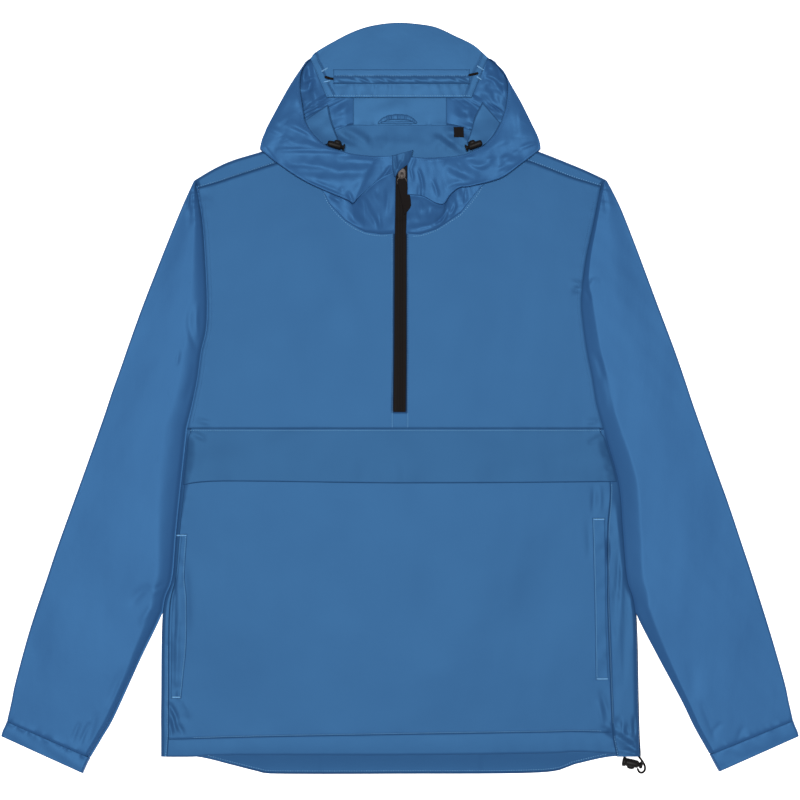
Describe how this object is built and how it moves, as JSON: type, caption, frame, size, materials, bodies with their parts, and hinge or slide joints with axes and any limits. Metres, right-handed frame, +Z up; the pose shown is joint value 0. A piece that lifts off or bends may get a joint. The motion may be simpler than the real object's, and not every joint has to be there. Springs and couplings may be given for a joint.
{
  "type": "anorak pullover",
  "caption": "Hooded anorak pullover laid flat on its back: half zip, wide pocket flap, side pockets, elastic cuffs and a dropped back hem.",
  "frame": {"origin": "centre of the bounding box on the table that the garment lies on", "axes": "+X across the garment to the wearer's left sleeve, +Y from hem to hood, +Z up off the table"},
  "size_m": [0.942, 0.887, 0.0251],
  "materials": {
    "cloth": "smooth light nylon with a soft sheen",
    "cloth_inside": "inside of the same nylon",
    "zip_black": "woven black tape and elastic",
    "lock_plastic": "moulded black plastic",
    "slider_metal": "dark antique plated metal"
  },
  "bodies": {
    "garment": {"back": "cloth", "front_yoke": "cloth", "front_lower": "cloth", "front_hem": "cloth", "pocket_flap": "cloth", "pocket_welt_left": "cloth", "pocket_welt_right": "cloth", "sleeve_left": "cloth", "sleeve_right": "cloth", "cuff_left": "cloth", "cuff_right": "cloth", "hood_centre": "cloth_inside", "hood_brim": "cloth", "cord_casing": "cloth", "hood_side_left": "cloth", "hood_side_right": "cloth", "facing_left": "cloth", "facing_right": "cloth", "hanger_loop": "cloth_inside", "neck_label": "zip_black", "hood_lock_left": "lock_plastic", "hood_lock_right": "lock_plastic", "hood_elastic_left": "zip_black", "hood_elastic_right": "zip_black", "zip_tape": "zip_black", "zip_garage": "cloth", "zip_slider": "slider_metal", "hem_lock": "lock_plastic", "hem_cord": "zip_black"},
    "pull_tab": {"zip_pull": "slider_metal", "zip_strap": "zip_black"}
  },
  "joints": [
    {"name": "pull_tab_hinge", "type": "hinge", "parent": "garment", "child": "pull_tab", "pos_m": [0, 0.26048, 0.01843], "axis": [-1, 0, 0], "range_deg": [0, 120]}
  ]
}
